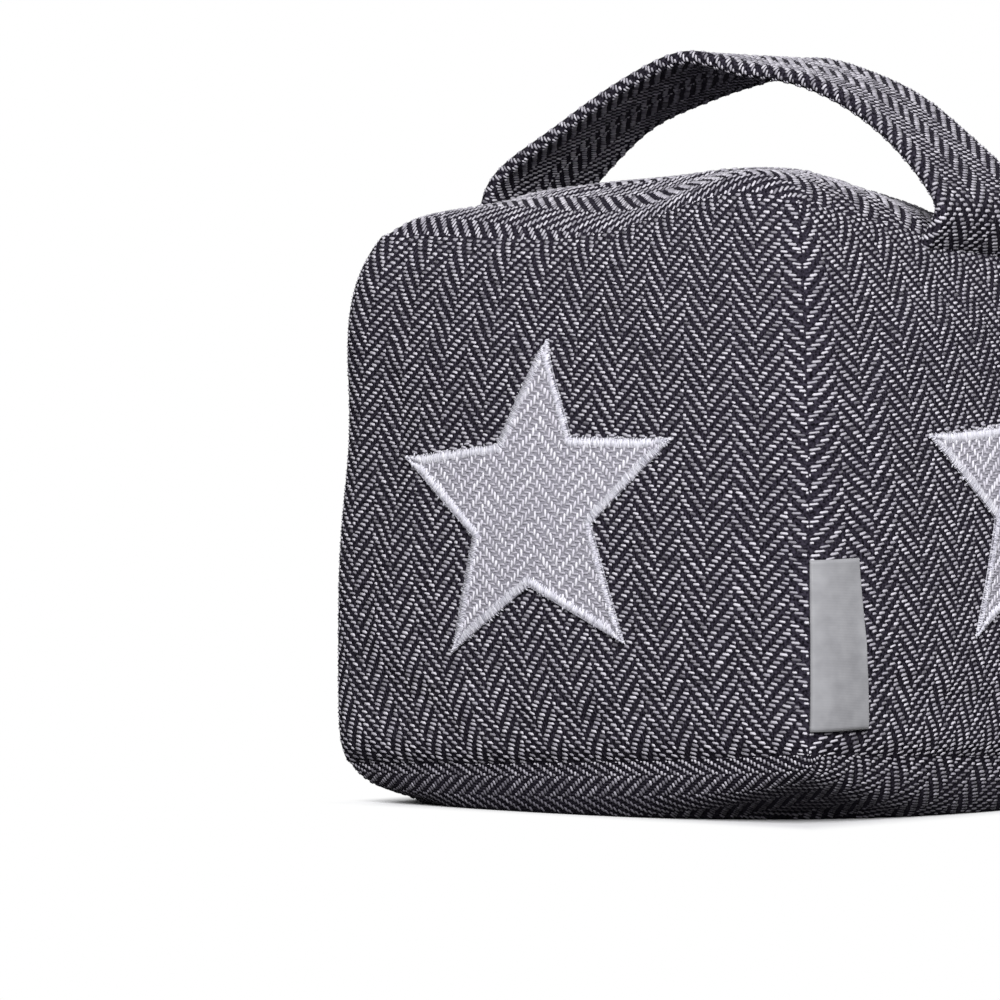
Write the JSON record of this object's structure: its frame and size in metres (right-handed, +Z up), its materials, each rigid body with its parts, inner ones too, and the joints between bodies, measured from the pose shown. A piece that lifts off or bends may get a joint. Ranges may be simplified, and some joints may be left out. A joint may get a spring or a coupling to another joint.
{
  "type": "weighted fabric door stop",
  "caption": "Cube-shaped sand-filled cloth door stop with a carry strap over the top, stitched star patches on two faces and a blank side label.",
  "frame": {"origin": "middle of the flat patch the door stop stands on", "axes": "+Z up, the face with the first star looks along -Y, the face with the second star looks along +X, and the strap runs over the top along X"},
  "size_m": [0.1564, 0.1565, 0.1783],
  "materials": {
    "herringbone_cloth": "matt wool-look herringbone, light grey weft on near-black navy warp",
    "strap_cloth": "the same herringbone cloth folded into a flat strap",
    "star_cloth": "light grey low-contrast herringbone cloth",
    "satin_stitch": "white glossy embroidery thread, zigzag satin stitch",
    "label_satin": "grey woven satin tape, blank"
  },
  "bodies": {
    "root": {"sand_filled_cover": "herringbone_cloth", "carry_strap": "strap_cloth", "front_star_cloth": "star_cloth", "front_star_stitching": "satin_stitch", "side_star_cloth": "star_cloth", "side_star_stitching": "satin_stitch", "seam_label": "label_satin"}
  },
  "joints": []
}
